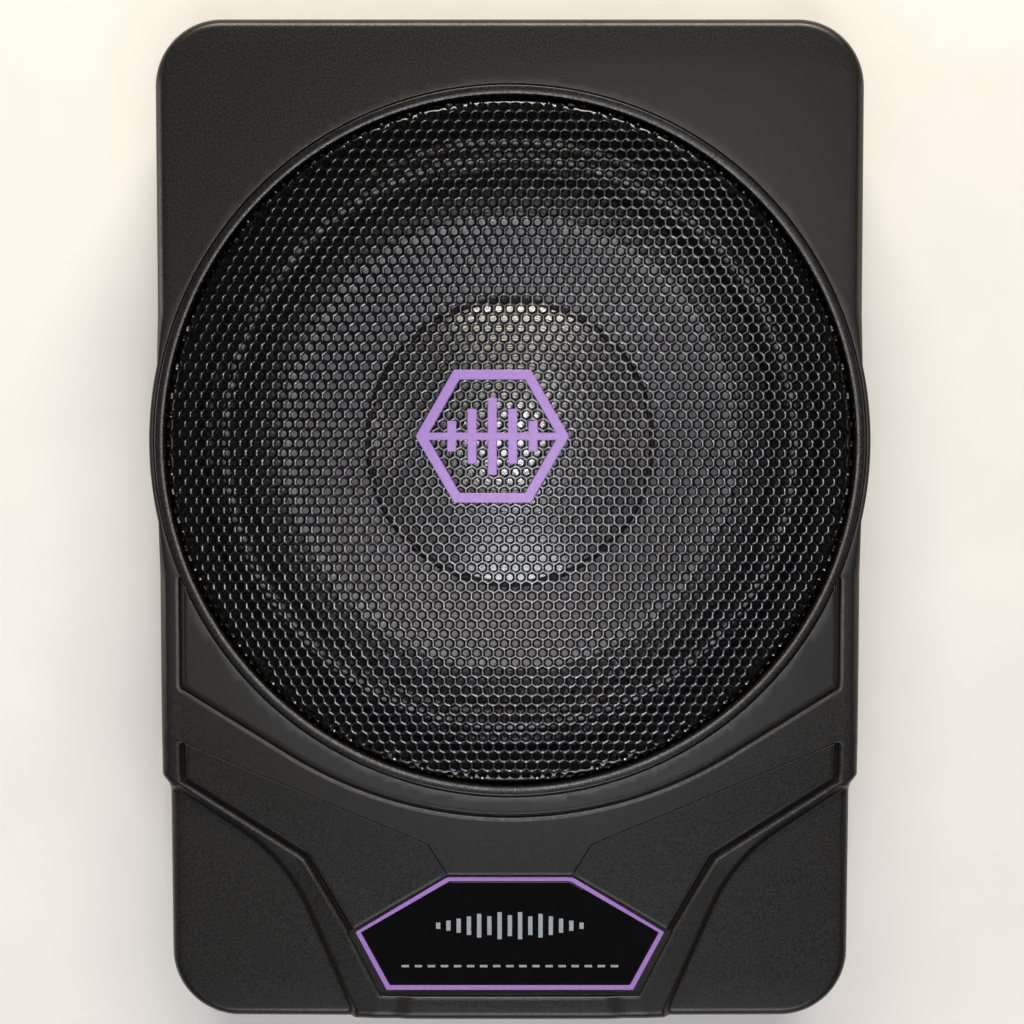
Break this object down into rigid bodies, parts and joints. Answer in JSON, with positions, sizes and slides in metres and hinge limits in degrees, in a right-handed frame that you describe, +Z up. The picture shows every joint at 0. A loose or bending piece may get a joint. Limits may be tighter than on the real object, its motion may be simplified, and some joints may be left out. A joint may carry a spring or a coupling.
{
  "type": "powered car subwoofer",
  "caption": "Flat powered under-seat car subwoofer with a round perforated grille, cast metal housing and a recessed control end.",
  "frame": {"origin": "bottom centre of the whole object, on the surface that the rubber feet stand on", "axes": "+Z up out of the grille, +Y away from the control end, +X to the right when looking at the control end"},
  "size_m": [0.25, 0.3494, 0.074],
  "materials": {
    "cast_housing": "fine textured black powder coat on die-cast aluminium",
    "black_steel": "satin black paint on pressed steel",
    "grille_steel": "satin black perforated steel",
    "ring_gloss": "gloss black moulded trim",
    "plate_gloss": "piano black acrylic",
    "purple_trim": "satin purple lacquer",
    "foam": "closed-cell foam",
    "rubber": "matte black rubber",
    "screw_steel": "black zinc",
    "motor_steel": "zinc plate",
    "ferrite": "ground ferrite",
    "cone_metal": "metallised grey pulp",
    "cap_metal": "spun aluminium skin",
    "former_film": "polyimide film",
    "copper": "enamelled copper wire",
    "spider_cloth": "resin-dipped corrugated cloth",
    "tinsel": "tinned braid",
    "cable_jacket": "soft jacket",
    "board": "green solder mask",
    "toroid_tape": "enamelled winding over a tape-wrapped core",
    "capacitor_sleeve": "shrink sleeve",
    "bare_aluminium": "extruded",
    "epoxy": "moulded package",
    "panel_black": "matte black panel",
    "connector_black": "moulded nylon",
    "nickel": "nickel plate",
    "fuse_plastic": "tinted translucent nylon",
    "light_lens": "tinted lens",
    "knob_plastic": "fine matte moulding",
    "switch_metal": "tin plate"
  },
  "bodies": {
    "cabinet": {"top_housing": "cast_housing", "base_plate": "black_steel", "base_gasket": "foam", "rubber_foot_1": "rubber", "rubber_foot_2": "rubber", "rubber_foot_3": "rubber", "rubber_foot_4": "rubber", "base_screw_1": "screw_steel", "base_screw_2": "screw_steel", "base_screw_3": "screw_steel", "base_screw_4": "screw_steel", "base_screw_5": "screw_steel", "base_screw_6": "screw_steel", "grille_ring": "ring_gloss", "grille": "grille_steel", "grille_badge": "purple_trim", "nameplate": "plate_gloss", "nameplate_border": "purple_trim", "basket": "black_steel", "driver_gasket": "foam", "surround": "rubber", "spider": "spider_cloth", "top_plate": "motor_steel", "magnet": "ferrite", "yoke": "motor_steel", "driver_terminal": "connector_black", "tinsel_lead_1": "tinsel", "tinsel_lead_2": "tinsel", "speaker_cable": "cable_jacket", "amplifier_board": "board", "power_toroid": "toroid_tape", "filter_capacitor_1": "capacitor_sleeve", "filter_capacitor_2": "capacitor_sleeve", "output_inductor": "copper", "power_transistor_1": "epoxy", "power_transistor_2": "epoxy", "transistor_clamp": "bare_aluminium", "control_panel": "panel_black", "rca_jack_left": "nickel", "rca_jack_right": "nickel", "high_level_socket": "connector_black", "power_socket": "connector_black", "remote_socket": "connector_black", "fuse_holder": "connector_black", "blade_fuse": "fuse_plastic", "power_light": "light_lens", "gain_pot": "switch_metal", "crossover_pot": "switch_metal", "bass_boost_pot": "switch_metal", "phase_switch": "switch_metal", "auto_on_switch": "switch_metal"},
    "cone_assembly": {"cone": "cone_metal", "dust_cap": "cap_metal", "voice_coil_former": "former_film", "voice_coil_winding": "copper"},
    "gain_control": {"gain_knob": "knob_plastic"},
    "crossover_control": {"crossover_knob": "knob_plastic"},
    "bass_boost_control": {"bass_boost_knob": "knob_plastic"},
    "phase_control": {"phase_slider": "knob_plastic"},
    "auto_on_control": {"auto_on_slider": "knob_plastic"}
  },
  "joints": [
    {"name": "cone_travel", "type": "slide", "parent": "cabinet", "child": "cone_assembly", "axis": [0, 0, 1], "range_m": [-0.004, 0.004], "stiffness_N_per_m": 6000, "deforming": ["surround", "spider", "tinsel_lead_1", "tinsel_lead_2"]},
    {"name": "gain_turn", "type": "hinge", "parent": "cabinet", "child": "gain_control", "pos_m": [-0.004, -0.163, 0.031], "axis": [0, 1, 0], "range_deg": [-140, 140]},
    {"name": "crossover_turn", "type": "hinge", "parent": "cabinet", "child": "crossover_control", "pos_m": [0.018, -0.163, 0.031], "axis": [0, 1, 0], "range_deg": [-140, 140]},
    {"name": "bass_boost_turn", "type": "hinge", "parent": "cabinet", "child": "bass_boost_control", "pos_m": [0.04, -0.163, 0.031], "axis": [0, 1, 0], "range_deg": [-140, 140]},
    {"name": "phase_slide", "type": "slide", "parent": "cabinet", "child": "phase_control", "axis": [1, 0, 0], "range_m": [0, 0.003]},
    {"name": "auto_on_slide", "type": "slide", "parent": "cabinet", "child": "auto_on_control", "axis": [1, 0, 0], "range_m": [0, 0.003]}
  ]
}
